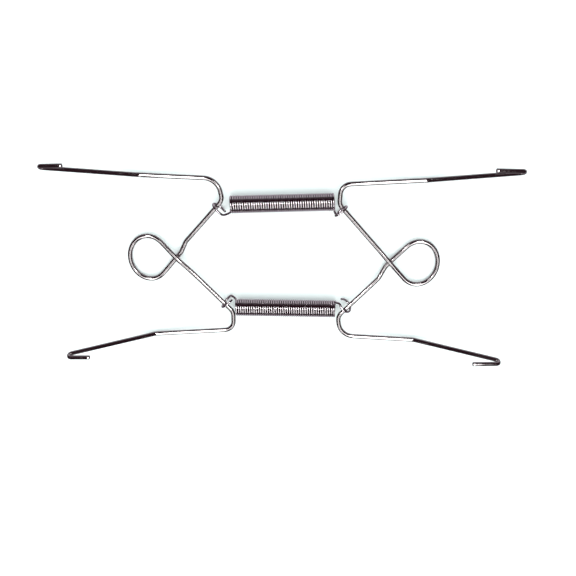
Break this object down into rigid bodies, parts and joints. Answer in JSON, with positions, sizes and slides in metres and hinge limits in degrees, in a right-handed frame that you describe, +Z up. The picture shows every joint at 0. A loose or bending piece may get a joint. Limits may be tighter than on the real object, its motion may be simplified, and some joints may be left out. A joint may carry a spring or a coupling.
{
  "type": "wire plate hanger",
  "caption": "Spring-type wire plate hanger: bent wire frames with rim hooks and oval hanging loops, joined by close-wound extension springs.",
  "frame": {"origin": "on the surface that the hanger lies on, under the middle of its box", "axes": "+X along the springs towards the right frame, +Y towards the upper spring, +Z up off the surface"},
  "size_m": [0.2051, 0.0932, 0.0135],
  "materials": {
    "frame_wire": "bright nickel plate on drawn steel wire",
    "spring_wire": "nickel plate on spring steel wire, slightly duller than the frames"
  },
  "bodies": {
    "springs": {"upper_spring_coil": "spring_wire", "lower_spring_coil": "spring_wire", "upper_spring_left_hook": "spring_wire", "lower_spring_left_hook": "spring_wire"},
    "left_frame": {"left_frame": "frame_wire"},
    "right_hooks": {"upper_spring_right_hook": "spring_wire", "lower_spring_right_hook": "spring_wire"},
    "right_frame": {"right_frame": "frame_wire"}
  },
  "joints": [
    {"name": "left_fold", "type": "hinge", "parent": "springs", "child": "left_frame", "pos_m": [-0.02786, 0.00361, 0.0029], "axis": [-0.0478, 0.9989, 0], "range_deg": [0, 60]},
    {"name": "stretch", "type": "slide", "parent": "springs", "child": "right_hooks", "axis": [1, 0, 0], "range_m": [0, 0.06], "stiffness_N_per_m": 1366, "springref_m": -0.005, "deforming": ["upper_spring_coil", "lower_spring_coil"]},
    {"name": "right_fold", "type": "hinge", "parent": "right_hooks", "child": "right_frame", "pos_m": [0.02867, 0.00214, 0.0029], "axis": [0.0595, -0.9982, 0], "range_deg": [0, 60]}
  ]
}
